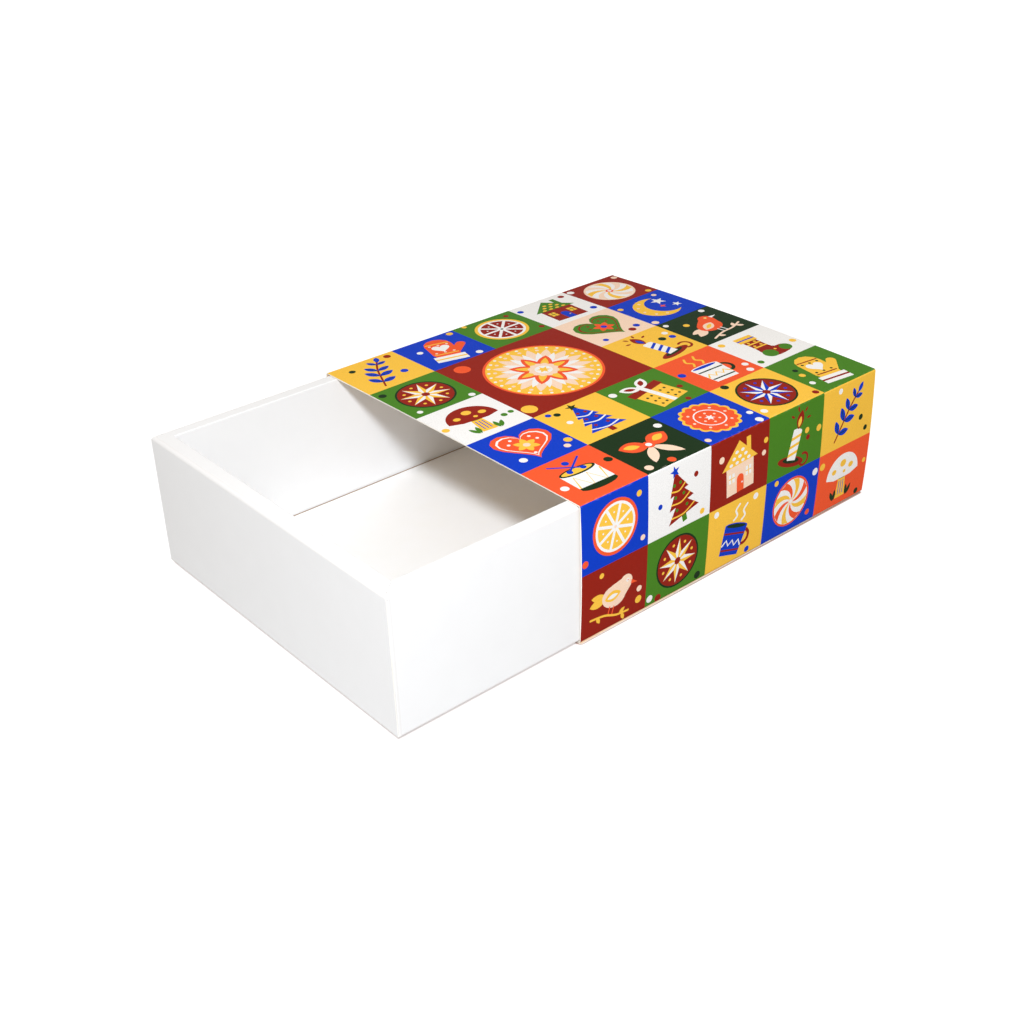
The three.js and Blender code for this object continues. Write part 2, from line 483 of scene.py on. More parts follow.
def parcel(main, second, accent, detail):
    knot_share = 0.36
    layers = [(main, bar(-0.6, -0.78, 0.6, 0.22)), (second, bar(-0.68, 0.1, 0.68, 0.38))]
    spot_shares = [(x, y) for x in (-0.42, -0.22, 0.22, 0.42) for y in (-0.62, -0.38, -0.12)]
    layers += dots(detail, 0.045, spot_shares)
    layers += [(accent, bar(-0.09, -0.78, 0.09, 0.38))]
    for angle in (0.62, TAU / 2 - 0.62):
        layers.append((accent, leaf(0, knot_share, 0.66, 0.36, angle)))
        layers.append((second, leaf(math.cos(angle) * 0.16, knot_share + 0.1, 0.36, 0.17, angle)))
    return layers + [(accent, disc(0.1, 0, 0.42))]


def mitten(main, second, accent, detail):
    thumb = stroke([(0.34, -0.2), (0.66, 0.22)], 0.3)
    layers = [(main, thumb), (main, stroke([(0, -0.3), (0, 0.42)], 0.86))]
    layers += [(accent, bar(-0.5, -0.86, 0.5, -0.46)), (second, bar(-0.5, -0.7, 0.5, -0.62))]
    layers += [(second, stroke([(-0.36, y), (0.36, y)], 0.05)) for y in (-0.3, 0.52)]
    layers += [(accent, heart(0.3, 0, 0.1))]
    return layers + dots(detail, 0.045, [(x, y) for x in (-0.28, 0, 0.28) for y in (-0.18, 0.4)])


def candle(main, second, accent, detail):
    handle = arc(0.2, -TAU / 3, TAU / 3, 12, 0.62, -0.66)
    layers = [(second, stroke(handle, 0.08)), (second, disc(0.62, 0, -0.72, 0.28))]
    layers += [(detail, disc(0.4, 0, -0.68, 0.24)), (accent, bar(-0.2, -0.68, 0.2, 0.26))]
    layers += [(accent, disc(0.2, 0, 0.26, 0.3))]
    for y in (-0.6, -0.34, -0.08):
        layers.append((main, [(-0.2, y), (0.2, y + 0.16), (0.2, y + 0.26), (-0.2, y + 0.1)]))
    layers += [(second, leaf(0, 0.3, 0.6, 0.32, TAU / 4)), (main, leaf(0, 0.36, 0.34, 0.16, TAU / 4))]
    for angle in (0.3, 1.1, TAU / 2 - 1.1, TAU / 2 - 0.3):
        x, y = polar(0.3, angle)
        layers.append((second, leaf(x, 0.56 + y, 0.2, 0.08, angle)))
    return layers


def peppermint(main, second, accent, detail):
    layers = [(main, wide_disc(0.84)), (accent, wide_disc(0.77))]
    for k in range(8):
        start = TAU * k / 8
        edge = [(0.77 * j / 6, start + 0.9 * j / 6) for j in range(7)]
        back = [(radius, angle + 0.4) for radius, angle in reversed(edge)]
        swirl = [polar(radius, angle) for radius, angle in edge[1:] + back[:-1]]
        layers.append((main if k % 2 else second, swirl))
    return layers + [(detail, disc(0.13)), (accent, disc(0.07))]


def folk_heart(main, second, accent, detail):
    layers = [(main, heart(0.92)), (accent, heart(0.78)), (main, heart(0.72))]
    layers += [(second, leaf(0, 0.02, 0.36, 0.2, TAU / 4 + TAU * k / 6)) for k in range(6)]
    layers += [(detail, disc(0.1, 0, 0.02))]
    spot_shares = [(-0.42, 0.22), (0.42, 0.22), (-0.28, 0.42), (0.28, 0.42), (0, -0.46)]
    return layers + dots(accent, 0.05, spot_shares)


def house(main, second, accent, detail):
    layers = [(second, bar(0.3, 0.35, 0.48, 0.82)), (main, bar(-0.58, -0.82, 0.58, 0.12))]
    layers += [(second, [(-0.76, 0.08), (0.76, 0.08), (0, 0.84)])]
    for y, count in ((0.16, 4), (0.33, 3), (0.5, 2)):
        layers += [(accent, disc(0.075, (k - (count - 1) / 2) * 0.25, y, 0.7, 10)) for k in range(count)]
    layers += [(detail, bar(-0.15, -0.82, 0.15, -0.4)), (detail, disc(0.15, 0, -0.4))]
    for x in (-0.36, 0.36):
        layers.append((accent, bar(x - 0.12, -0.42, x + 0.12, -0.12)))
        layers.append((second, bar(x - 0.015, -0.42, x + 0.015, -0.12)))
        layers.append((second, bar(x - 0.12, -0.285, x + 0.12, -0.255)))
    return layers + dots(accent, 0.03, [(0.08, -0.55)])


def moon(main, second, accent, detail):
    outer = arc(0.76, 0.9, TAU - 0.9, 26)
    inner = arc(0.62, TAU - 1.36, 1.36, 20, 0.34, 0)[1:-1]
    layers = [(second, outer + inner), (accent, star(5, 0.27, 0.11, 0.42, 0.3))]
    layers += [(accent, star(5, 0.17, 0.07, 0.62, -0.3)), (main, star(4, 0.13, 0.05, 0.2, -0.08))]
    return layers + dots(detail, 0.05, [polar(0.6, angle) for angle in (1.9, 2.5, 3.14, 3.8, 4.4)])


def sprig(main, second, accent, detail):
    stem = curve([(-0.5, -0.85), (-0.22, -0.3), (0.05, 0.2), (0.42, 0.7)])
    layers = [(second, stroke(stem, 0.06))]
    for i, size in ((3, 0.5), (7, 0.52), (11, 0.46), (15, 0.36)):
        x, y = stem[i]
        for angle in (0.15, 2.0):
            dx, dy = polar(0.8 * size, angle)
            layers.append((main, leaf(x, y, size, size * 0.46, angle)))
            layers.append((detail, stroke([(x, y), (x + dx, y + dy)], 0.028)))
    return layers + [(main, leaf(0.38, 0.62, 0.36, 0.18, 1.05))]


def mug(main, second, accent, detail):
    layers = [(second, stroke(arc(0.24, -1.5, 1.5, 12, 0.42, -0.24), 0.11))]
    layers += [(main, [(-0.56, 0.14), (-0.46, -0.82), (0.38, -0.82), (0.48, 0.14)])]
    layers += [(main, disc(0.52, -0.04, 0.14, 0.2)), (detail, disc(0.45, -0.04, 0.14, 0.15))]
    zigzag = [(-0.46 + 0.14 * k, -0.5 + 0.18 * (k % 2)) for k in range(7)]
    layers += [(accent, stroke(zigzag, 0.06)), (second, bar(-0.5, -0.14, 0.43, -0.08))]
    layers += [(second, bar(-0.46, -0.68, 0.39, -0.62))]
    for x in (-0.24, 0.12):
        steam = curve([(x, 0.32), (x + 0.1, 0.48), (x - 0.02, 0.64), (x + 0.08, 0.84)])
        layers.append((accent, stroke(steam, 0.07)))
    return layers


def biscuit(main, second, accent, detail):
    layers = [(second, scallops(16, 0.78, 0.08)), (main, scallops(16, 0.7, 0.07))]
    layers += [(accent, disc(0.46)), (main, disc(0.42))]
    layers += dots(detail, 0.045, around(8, 0.58)) + dots(detail, 0.04, around(6, 0.26, 0.3))
    return layers + [(accent, star(6, 0.16, 0.07))]


def orange(main, second, accent, detail):
    layers = [(main, wide_disc(0.84)), (accent, wide_disc(0.74))]
    for k in range(8):
        low, high = TAU * k / 8 + 0.07, TAU * (k + 1) / 8 - 0.07
        middle = (low + high) / 2
        layers.append((second, [polar(0.12, middle), *arc(0.66, low, high, 5)]))
        layers += dots(accent, 0.03, [polar(0.46, middle)])
    return layers + [(detail, disc(0.05))]


def mushroom(main, second, accent, detail):
    spot_shares = ((0, 0.42, 0.15), (-0.42, 0.22, 0.11), (0.4, 0.24, 0.12), (0.1, 0.1, 0.07))
    grass_shares = ((-0.34, 2.0), (-0.3, 1.5), (0.34, 1.1), (0.3, 1.6))
    layers = [(accent, [(-0.16, 0.05), (-0.24, -0.8), (0.24, -0.8), (0.16, 0.05)])]
    layers += [(second, disc(0.34, 0, -0.02, 0.3))]
    layers += [(main, [*arc(0.78, 0, TAU / 2, 22, 0, 0.02, 0.95), (-0.4, -0.1), (0.4, -0.1)])]
    layers += [(accent, disc(radius, x, y, 0.85, 14)) for x, y, radius in spot_shares]
    layers += [(detail, stroke([(x, -0.2), (x * 1.1, -0.68)], 0.03)) for x in (-0.1, 0, 0.1)]
    return layers + [(second, leaf(x, -0.84, 0.4, 0.14, angle)) for x, angle in grass_shares]


def bird(main, second, accent, detail):
    perch = curve([(-0.72, -0.74), (-0.2, -0.66), (0.3, -0.7), (0.76, -0.62)])
    layers = [(second, leaf(-0.3, -0.12, 0.62, 0.3, 3.5)), (second, leaf(-0.3, -0.06, 0.6, 0.24, 3.15))]
    layers += [(main, disc(0.46, 0, -0.08, 0.78)), (main, disc(0.25, 0.36, 0.3))]
    layers += [(main, [(0.14, 0.42), (-0.2, 0.25), (0.44, -0.14), (0.6, 0.2)])]
    layers += [(detail, [(0.58, 0.36), (0.84, 0.26), (0.58, 0.22)])]
    layers += [(accent, disc(0.06, 0.42, 0.36, 1, 12)), (detail, disc(0.025, 0.43, 0.36, 1, 8))]
    layers += [(second, leaf(0.24, 0.04, 0.62, 0.34, 3.5)), (accent, leaf(0.14, -0.01, 0.4, 0.14, 3.5))]
    layers += [(detail, stroke([(x, -0.4), (x, -0.66)], 0.04)) for x in (-0.06, 0.1)]
    layers += [(second, stroke(perch, 0.07))]
    bud_shares = ((-0.5, -0.8), (0.4, 0.8), (0.5, -0.9))
    return layers + [(second, leaf(x, -0.68, 0.26, 0.13, angle)) for x, angle in bud_shares]


def sock(main, second, accent, detail):
    heel_shares = [(-0.34, -0.1), (-0.38, -0.44), (-0.24, -0.74), (0.1, -0.78)]
    toe_shares = [(0.5, -0.7), (0.66, -0.5), (0.5, -0.28), (0.2, -0.2)]
    layers = [(main, curve([(-0.34, 0.5), *heel_shares, *toe_shares, (0.2, 0.5)], 4))]
    layers += [(second, disc(0.24, -0.2, -0.54)), (second, disc(0.2, 0.48, -0.5))]
    layers += [(accent, bar(-0.42, 0.42, 0.28, 0.78)), (detail, bar(-0.42, 0.56, 0.28, 0.62))]
    layers += [(accent, bar(-0.33, y, 0.19, y + 0.07)) for y in (0.2, -0.06)]
    spot_shares = [(-0.2, 0.34), (0.06, 0.34), (-0.2, 0.08), (0.06, 0.08), (0.12, -0.42)]
    return layers + dots(accent, 0.05, spot_shares)


def drum(main, second, accent, detail):
    layers = [(second, disc(0.58, 0, -0.58, 0.3)), (main, bar(-0.58, -0.58, 0.58, 0.26))]
    layers += [(second, disc(0.58, 0, 0.26, 0.3)), (accent, disc(0.5, 0, 0.27, 0.24))]
    zigzag = [(-0.55 + 0.22 * k, -0.56 + (0.6 if k % 2 else 0.0)) for k in range(6)]
    layers += [(accent, stroke(zigzag, 0.045)), (second, bar(-0.58, -0.62, 0.58, -0.5))]
    for handle, head in ((-0.5, 0.24), (0.5, -0.2)):
        layers.append((detail, stroke([(head, 0.3), (handle, 0.82)], 0.06)))
        layers.append((detail, disc(0.09, head, 0.3, 1, 12)))
    return layers


def bow(main, second, accent, detail):
    layers = []
    for side, base in ((1, 0.0), (-1, TAU / 2)):
        layers.append((second, leaf(0, -0.05, 0.9, 0.3, base - side * 0.95)))
        layers.append((main, leaf(0, 0, 0.86, 0.56, base + side * 0.35)))
        layers.append((accent, leaf(0.24 * side, 0.1, 0.46, 0.24, base + side * 0.35)))
    return layers + [(main, disc(0.17, 0, 0.02)), (detail, disc(0.09, 0, 0.02))]


def rosette(main, second, accent, detail):
    rings = (
        (16, 0.74, 0.2, main, 0),
        (16, 0.62, 0.13, accent, TAU / 32),
        (8, 0.5, 0.22, detail, 0),
        (8, 0.42, 0.12, second, 0),
    )
    layers = [(detail, wide_disc(0.88, ROSETTE_STEPS)), (second, wide_disc(0.84, ROSETTE_STEPS))]
    layers += dots(accent, 0.025, around(32, 0.79))
    for count, reach, width, ink, turn in rings:
        layers += [(ink, leaf(0, 0, reach, width, turn + TAU * k / count)) for k in range(count)]
    layers += [(main, scallops(12, 0.2, 0.03)), (accent, disc(0.13)), (second, star(6, 0.11, 0.05))]
    return layers + dots(main, 0.03, around(16, 0.7, TAU / 32))


MOTIFS = {
    "a": barn_star, "b": tree, "c": parcel, "d": mitten, "e": candle, "f": peppermint,
    "g": folk_heart, "h": house, "i": moon, "j": sprig, "k": mug, "l": biscuit,
    "m": orange, "n": mushroom, "o": bird, "p": sock, "q": drum, "r": rosette, "s": bow,
}

# Layout of each panel: grounds and motifs, a string for each row across the folds, from mouth to back.
# A dot is a place that the big motif covers. Its middle lies that many cells in from the panel's start.
TOP = (("YBGWR", "GRRPB", "WRRYD", "BYGOW", "ODBYG"), ("jdmhf", "a..gi", "n..eo", "gbckp", "qslad"))
RIGHT = (("BWRGY", "RGYBO"), ("mbhej", "oakfn"))
LEFT = (("OBYGR", "YGWRB"), ("nfkao", "jehbm"))
BOTTOM = (("DYBOG", "WGRYB", "BROWD", "YPGBR", "GWYRO"), ("daslq", "pkcbg", "oeinm", "igjah", "fhmdj"))
BIG_MOTIF = "r"
BIG_GROUND = "R"
BIG_MIDDLE_CELLS = 2

# Motifs and loose dots, in shares of half a cell, and how far a motif leans to either side, in radians
MOTIF_SHARE = 0.94
DOTS_PER_CELL = 3
DOT_TRIES = 60
DOT_PLACE_SHARE = 0.9
DOT_RADIUS_SHARES = (0.08, 0.12)
DOT_CLEAR_SHARE = 0.14
LEAN = 0.3
PRINT_SEED = 7


def is_clear(x, y, taken, gap):
    return min(math.hypot(x - a, y - b) for a, b in taken) > gap


def cell_art(chance, motif, scheme, u, v, half_u, half_v, turn):
    """A motif and the loose dots round it, in one cell of the flat sheet."""
    size = min(half_u, half_v) * MOTIF_SHARE
    cosine, sine = math.cos(turn), math.sin(turn)
    art = []
    taken = []
    for ink, outline in MOTIFS[motif](*scheme):
        points = [(size * (cosine * x - sine * y), size * (sine * x + cosine * y)) for x, y in outline]
        taken += points
        art.append((ink, [(u - y, v + x) for x, y in points]))
    placed = 0
    for _ in range(DOT_TRIES):
        x = chance.uniform(-DOT_PLACE_SHARE, DOT_PLACE_SHARE) * half_v
        y = chance.uniform(-DOT_PLACE_SHARE, DOT_PLACE_SHARE) * half_u
        radius = chance.uniform(*DOT_RADIUS_SHARES) * half_u
        ink = chance.choice(scheme)
        if placed < DOTS_PER_CELL and is_clear(x, y, taken, radius + DOT_CLEAR_SHARE * half_u):
            art.append((ink, [(u - b, v + a) for a, b in disc(radius, x, y, steps=14)]))
            taken.append((x, y))
            placed += 1
    return art


def panel_art(chance, layout, low, high, length, up):
    """Grounds and motifs of one panel, between two places across the folds. up is 0, or half a turn."""
    grounds, motifs = layout
    half_u = (high - low) / len(grounds) / 2
    half_v = length / len(grounds[0]) / 2
    cells = []
    art = []
    for row, letters in enumerate(grounds):
        u = low + (2 * row + 1) * half_u
        for column, ground in enumerate(letters):
            v = (2 * column + 1) * half_v
            cells.append((ground, bar(u - half_u, v - half_v, u + half_u, v + half_v)))
            motif = motifs[row][column]
            if motif != ".":
                turn = up + chance.uniform(-LEAN, LEAN)
                art += cell_art(chance, motif, SCHEMES[ground], u, v, half_u, half_v, turn)
    if layout is TOP:
        u = low + 2 * BIG_MIDDLE_CELLS * half_u
        v = 2 * BIG_MIDDLE_CELLS * half_v
        art += cell_art(chance, BIG_MOTIF, SCHEMES[BIG_GROUND], u, v, 2 * half_u, 2 * half_v, 0)
    return cells, art


# Materials. Sizes of clouds, fibres and cracks, and depths of relief, are in millimetres.

CLOUD_SIZE = 9.0
CLOUD_BAND = (0.35, 0.65)
FIBRE_BAND = (0.3, 0.7)
FIBRE_DETAIL = 4.0
ROUGHNESS_SWING = 0.06

PRINT_MOTTLE = 0.35
PRINT_MOTTLE_DETAIL = 5.0
PRINT_TONES = (0.9, 1.06)
PRINT_CRACKS = 0.8
PRINT_CRACK_STRETCH = (1, 0.3, 1)
PRINT_CRACK_BAND = (0.5, 0.72)
PRINT_CRACK_MOST = 0.14
PRINT_FIBRE = 0.5
PRINT_ROUGHNESS = (0.46, 0.56)
PRINT_SPECULAR = 0.04
PRINT_RELIEF = 0.004


def new_material(name):
    material = bpy.data.materials.new(name)
    material.use_nodes = True
    nodes = material.node_tree.nodes
    nodes.clear()
    shader = nodes.new("ShaderNodeBsdfPrincipled")
    output = nodes.new("ShaderNodeOutputMaterial")
    material.node_tree.links.new(shader.outputs["BSDF"], output.inputs["Surface"])
    return material, nodes, material.node_tree.links, shader


def noise(nodes, links, feature, detail=3.0, stretch=(1, 1, 1)):
    """Noise with features of the given size in millimetres."""
    place = nodes.new("ShaderNodeTexCoord")
    mapping = nodes.new("ShaderNodeMapping")
    mapping.inputs["Scale"].default_value = stretch
    texture = nodes.new("ShaderNodeTexNoise")
    texture.inputs["Scale"].default_value = 1 / (feature * MM)
    texture.inputs["Detail"].default_value = detail
    links.new(place.outputs["Object"], mapping.inputs["Vector"])
    links.new(mapping.outputs["Vector"], texture.inputs["Vector"])
    return texture.outputs["Fac"]


def ranged(nodes, links, source, low, high, to_low, to_high):
    node = nodes.new("ShaderNodeMapRange")
    node.inputs["From Min"].default_value = low
    node.inputs["From Max"].default_value = high
    node.inputs["To Min"].default_value = to_low
    node.inputs["To Max"].default_value = to_high
    links.new(source, node.inputs["Value"])
    return node.outputs["Result"]


def mixed(nodes, links, kind, factor, a, b):
    """Mix of two colours. The factor and the colours are values, or sockets of other nodes."""
    node = nodes.new("ShaderNodeMix")
    node.data_type = "RGBA"
    node.blend_type = kind
    for name, socket_type, value in (("Factor", "VALUE", factor), ("A", "RGBA", a), ("B", "RGBA", b)):
        target = next(i for i in node.inputs if i.name == name and i.type == socket_type)
        if isinstance(value, bpy.types.NodeSocket):
            links.new(value, target)
        else:
            target.default_value = value
    return next(o for o in node.outputs if o.type == "RGBA")


def combined(nodes, links, operation, first, second):
    """Sum or product of two sockets, kept between 0 and 1."""
    node = nodes.new("ShaderNodeMath")
    node.operation = operation
    node.use_clamp = True
    links.new(first, node.inputs[0])
    links.new(second, node.inputs[1])
    return node.outputs["Value"]


def opaque(code):
    """Linear colour of a hex colour code, with full alpha."""
    return (*linear(code), 1.0)


def fold_wear_and_shade(nodes):
    """Share of marks along the folds, as the board's mesh holds it: rubbing, and on the tray's walls
    painted shade too.
    """
    fold = nodes.new("ShaderNodeAttribute")
    fold.attribute_name = "fold"
    return fold.outputs["Fac"]


def bump(nodes, links, source, depth, shader):
    node = nodes.new("ShaderNodeBump")
    node.inputs["Distance"].default_value = depth * MM
    links.new(source, node.inputs["Height"])
    links.new(node.outputs["Normal"], shader.inputs["Normal"])


def paper(name, colour, tint, roughness, relief, fibre=0.4, fold_colour=None):
    """Board surface: two shades in soft clouds, fibres in the roughness and relief, and a colour along the
    folds. On the tray's walls that colour is rubbing at the rim, painted shade along the foot and a
    painted shadow in the floor card's seam.
    """
    material, nodes, links, shader = new_material(name)
    clouds = ranged(nodes, links, noise(nodes, links, CLOUD_SIZE), *CLOUD_BAND, 0.0, 1.0)
    shown = mixed(nodes, links, "MIX", clouds, opaque(colour), opaque(tint))
    fibres = noise(nodes, links, fibre, FIBRE_DETAIL)
    if fold_colour:
        shown = mixed(nodes, links, "MIX", fold_wear_and_shade(nodes), shown, opaque(fold_colour))
    links.new(shown, shader.inputs["Base Color"])
    swing = (roughness - ROUGHNESS_SWING, roughness + ROUGHNESS_SWING)
    links.new(ranged(nodes, links, fibres, *FIBRE_BAND, *swing), shader.inputs["Roughness"])
    bump(nodes, links, fibres, relief, shader)
    return material


def printed(name, bare_board):
    """Inks on coated board: a fine mottle, a satin varnish, and ink rubbed thin on the folds."""
    material, nodes, links, shader = new_material(name)
    ink = nodes.new("ShaderNodeVertexColor")
    ink.layer_name = "ink"
    marks = noise(nodes, links, PRINT_MOTTLE, PRINT_MOTTLE_DETAIL)
    mottle = ranged(nodes, links, marks, *FIBRE_BAND, *PRINT_TONES)
    grey = nodes.new("ShaderNodeCombineColor")
    for channel in ("Red", "Green", "Blue"):
        links.new(mottle, grey.inputs[channel])
    shown = mixed(nodes, links, "MULTIPLY", 1.0, ink.outputs["Color"], grey.outputs["Color"])
    marks = noise(nodes, links, PRINT_CRACKS, FIBRE_DETAIL, PRINT_CRACK_STRETCH)
    cracks = ranged(nodes, links, marks, *PRINT_CRACK_BAND, 0.0, PRINT_CRACK_MOST)
    bared = combined(nodes, links, "MULTIPLY", fold_wear_and_shade(nodes), cracks)
    shown = mixed(nodes, links, "MIX", bared, shown, opaque(bare_board))
    links.new(shown, shader.inputs["Base Color"])
    fibres = noise(nodes, links, PRINT_FIBRE, FIBRE_DETAIL)
    links.new(ranged(nodes, links, fibres, *FIBRE_BAND, *PRINT_ROUGHNESS), shader.inputs["Roughness"])
    shader.inputs["Specular IOR Level"].default_value = PRINT_SPECULAR
    bump(nodes, links, fibres, PRINT_RELIEF, shader)
    return material


print_face = printed("printed_face", "e6ddcd")
cut_edge = paper("cut_board_edge", "fbf7ef", "f7f1e6", roughness=0.85, relief=0.02, fibre=0.15)
sleeve_reverse = paper("sleeve_reverse", "f2d6b5", "eecfad", roughness=0.8, relief=0.012)
# The tray face's brown fold colour is rubbing on the rim folds, painted shade on the base folds, and a
# painted shadow at the tuck folds in the seam by the floor card.
tray_face = paper("tray_face", "f4f4f4", "f3f3f3", roughness=0.55, relief=0.006, fold_colour="b39a7e")
tray_edge = paper("tray_cut_edge", "faf9f5", "f8f6f0", roughness=0.85, relief=0.02, fibre=0.15)
tray_reverse = paper("tray_reverse", "f1eee6", "eee9df", roughness=0.8, relief=0.012)
card_face = paper("floor_card_face", "fbfbfa", "fafaf8", roughness=0.62, relief=0.006)
glue_film = paper("dry_glue", "ece8d8", "e2dcc6", roughness=0.4, relief=0.02, fibre=1.5)

# Sleeve: one printed sheet, from the bottom panel's free edge, cut a little askew, to the seam flap

low, high = lowest_highest("sleeve")
sleeve_length = high.y - low.y
sleeve_height = high.z - low.z
edge = (high.x - low.x) / 2 - SIDE_BOW - BOARD / 2
top = sleeve_height - BOARD / 2
inner = BOARD + GLUE_LINE + BOARD / 2
radius = SLEEVE_FOLD - BOARD / 2


def bowed(x, start, end, swell):
    """Upright line that bows sideways by swell at its middle."""
    shares = [k / BOW_STEPS for k in range(1, BOW_STEPS)]
    return [(x + hump(swell, share), start + (end - start) * share) for share in shares]


sleeve_fold = Fold([
    (edge + BOARD / 2 + SEAM_LIP, BOARD / 2),
    (-edge, BOARD / 2, radius),
    *bowed(-edge, BOARD / 2, top, -SIDE_BOW),
    (-edge, top, radius),
    (edge, top, radius),
    *bowed(edge, top, inner, SIDE_BOW),
    (edge, inner, radius),
    (edge - SEAM_FLAP, inner),
])
print_chance = random.Random(PRINT_SEED)
bottom_end, left_end, top_end, right_end = (sleeve_fold.middle(k) for k in range(4))
grounds = []
motifs = []
for layout, start, end, up in (
    (BOTTOM, 0.0, bottom_end, 0.0),
    (LEFT, bottom_end, left_end, TAU / 2),
    (TOP, left_end, top_end, 0.0),
    (RIGHT, top_end, right_end, 0.0),
):
    cells, art = panel_art(print_chance, layout, start, end, sleeve_length, up)
    grounds += cells
    motifs += art
blank = [(0, 0), (sleeve_fold.length, 0), (sleeve_fold.length, sleeve_length), (SEAM_SKEW, sleeve_length)]
sleeve_wear, wear_lines = fold_marks([(sleeve_fold.middle(k), *SLEEVE_WEAR) for k in range(4)])
crown_start, crown_end = sleeve_fold.folds[1][1], sleeve_fold.folds[2][0]
folded_sleeve = folded_bend(
    sleeve_fold,
    np.array([0.0, low.y, 0.0]),
    np.array([1.0, 0.0, 0.0]),
    np.array([0.0, 0.0, 1.0]),
    np.array([0.0, 1.0, 0.0]),
)


def crowned_sleeve(flat):
    """The folded sleeve, with its top panel crowned, and more so at the open back."""
    centre, normal = folded_sleeve(flat)
    share = np.clip((flat[:, 0] - crown_start) / (crown_end - crown_start), 0, 1)
    rise = np.interp(flat[:, 1], (0, sleeve_length), TOP_CROWN)
    centre[:, 2] += hump(rise, share)
    slope = hump_slope(rise, share) / (crown_end - crown_start)
    normal[:, 0] -= np.where((share > 0) & (share < 1), slope, 0)
    return centre, normal / np.linalg.norm(normal, axis=1, keepdims=True)


sleeve = board(
    "printed_sleeve",
    blank,
    crowned_sleeve,
    (print_face, cut_edge, sleeve_reverse),
    creases_u=sleeve_fold.samples() + wear_lines + grid_lines(crown_start, crown_end)[1:-1],
    creases_v=grid_lines(0, sleeve_length),
    art=grounds + motifs,
    fold_mask=lambda flat: sleeve_wear(flat[:, 0]),
)
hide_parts("sleeve")
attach(sleeve, "sleeve")

# Tray: base, four hollow walls and floor card

tray_low, tray_high = lowest_highest("tray_front_wall")
_, back_high = lowest_highest("tray_back_wall")
tray_width = tray_high.x - tray_low.x
tray_length = back_high.y - tray_low.y
tray_height = tray_high.z - tray_low.z
tray_middle = (back_high.y + tray_low.y) / 2


def wall_fold(depth):
    """Section of a wall: up from the base, over the flat rim, and down again to the tuck flap."""
    rim = tray_height - BOARD / 2
    flap = BOARD + LAYER_GAP + BOARD / 2
    return Fold([
        (CREASE_END, BOARD / 2),
        (BOARD / 2, BOARD / 2, BASE_FOLD - BOARD / 2),
        (BOARD / 2, rim, RIM_FOLD - BOARD / 2),
        (depth - BOARD / 2, rim, INNER_FOLD - BOARD / 2),
        (depth - BOARD / 2, flap, INNER_FOLD - BOARD / 2),
        (depth + TUCK_FLAP, flap),
    ])


def wall_outline(fold, half, depth, other_depth, panel_end, flap_reach=None):
    """Flat outline of a wall: mitred at the base and the rim, with 45 degree ends on the tuck flap."""
    start = half - MITRE_SLIT / 2
    flap_end = half - other_depth - PANEL_GAP
    base_fold, rim_fold, inner_fold, tuck_fold = fold.folds

    def mitred(low_end, high_end):
        at = fold.samples(low_end, high_end)
        where, way = fold.place(np.array(at))
        outer = where[:, 0] - way[:, 1] * BOARD / 2
        here = (0, RIM_FOLD, depth - INNER_FOLD, depth)
        there = (0, RIM_FOLD, other_depth - INNER_FOLD, other_depth)
        ends = np.interp(outer, here, there)
        return [(u, start - x) for u, x in zip(at, ends)]

    edge = mitred(0, base_fold[1])
    if flap_reach is None:
        edge += [(base_fold[1], half - END_INSET), (rim_fold[0], half - END_INSET)]
    else:
        slit = half - BOARD - GLUE_LINE - CORNER_FOLD
        low_end, high_end = base_fold[1] + FLAP_INSET, rim_fold[0] - FLAP_INSET
        edge += [(base_fold[1], slit), (low_end, slit), (low_end, flap_reach)]
        edge += [(high_end, flap_reach), (high_end, slit), (rim_fold[0], slit)]
    edge += mitred(rim_fold[0], inner_fold[1])
    middle = sum(tuck_fold) / 2
    edge += [(inner_fold[1], panel_end), (middle, panel_end)]
    edge += [(middle, flap_end), (fold.length, flap_end - TUCK_FLAP)]
    return edge + [(u, -v) for u, v in reversed(edge)]


def flared(bend):
    """As bend, and a little wider towards the tray's foot."""

    def flare(flat):
        centre, normal = bend(flat)
        above = (centre[:, 2] - tray_low.z) / tray_height
        centre[:, 0] *= 1 + FOOT_SPREAD * (1 - above) / (tray_width / 2)
        return centre, normal

    return flare


def corner_bend(fold, corner, origin, across, up, along):
    """As folded_bend, with the outer panel a little swollen and its ends turned round upright corners."""
    plain = folded_bend(fold, origin, across, up, along)
    low, high = fold.folds[0][1] + WELD, fold.folds[1][0] - WELD
    straight = corner.folds[0][0]

    def bend(flat):
        centre, normal = plain(flat)
        reach = np.abs(flat[:, 1])
        side = np.sign(flat[:, 1])[:, None]
        where, way = corner.place(reach)
        height = fold.place(flat[:, 0])[0][:, 1:]
        turned = origin + side * where[:, :1] * along + where[:, 1:] * across + height * up
        facing = side * way[:, 1:] * along - way[:, :1] * across
        panel = (flat[:, 0] > low) & (flat[:, 0] < high)
        past = (panel & (reach > straight))[:, None]
        rise = np.clip((flat[:, :1] - low) / (high - low), 0, 1)
        run = np.clip(flat[:, 1:] / straight, -1, 1)
        bulge = hump(PANEL_SWELL, rise)
        swell = bulge * (1 - run**4)
        slope_up = hump_slope(PANEL_SWELL, rise) * (1 - run**4) / (high - low) * panel[:, None]
        slope_along = bulge * -4 * run**3 / straight * (np.abs(run) < 1)
        centre = centre - swell * across
        normal = normal - slope_up * up - slope_along * along
        normal /= np.linalg.norm(normal, axis=1, keepdims=True)
        return np.where(past, turned, centre), np.where(past, facing, normal)

    return bend


